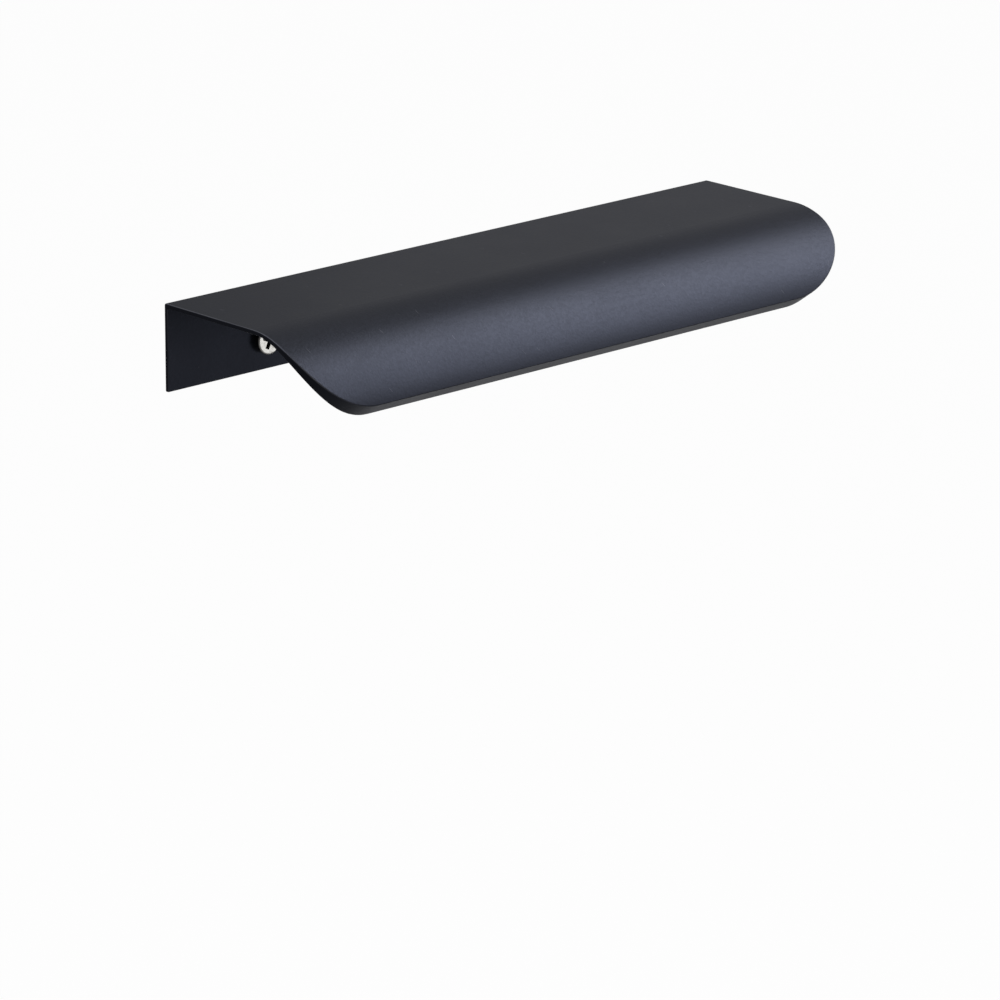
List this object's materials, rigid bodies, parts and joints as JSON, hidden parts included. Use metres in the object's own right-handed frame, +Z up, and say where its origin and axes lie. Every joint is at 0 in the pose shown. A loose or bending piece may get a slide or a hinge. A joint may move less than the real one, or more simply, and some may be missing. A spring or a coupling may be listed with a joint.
{
  "type": "furniture handle",
  "caption": "Lipped cabinet pull: a flat top plate that curves down into a thick finger lip, with a thin back leg for countersunk screws.",
  "frame": {"origin": "on the back face that lies against the door, midway between the two screw axes", "axes": "+X along the handle, +Y out of the back face into the door, +Z up towards the top plate; the lip is at -Y"},
  "size_m": [0.15, 0.0571, 0.0178],
  "materials": {
    "black_finish": "satin",
    "bright_plating": "polished"
  },
  "bodies": {
    "root": {"handle_body": "black_finish", "fixing_screws": "bright_plating"}
  },
  "joints": []
}
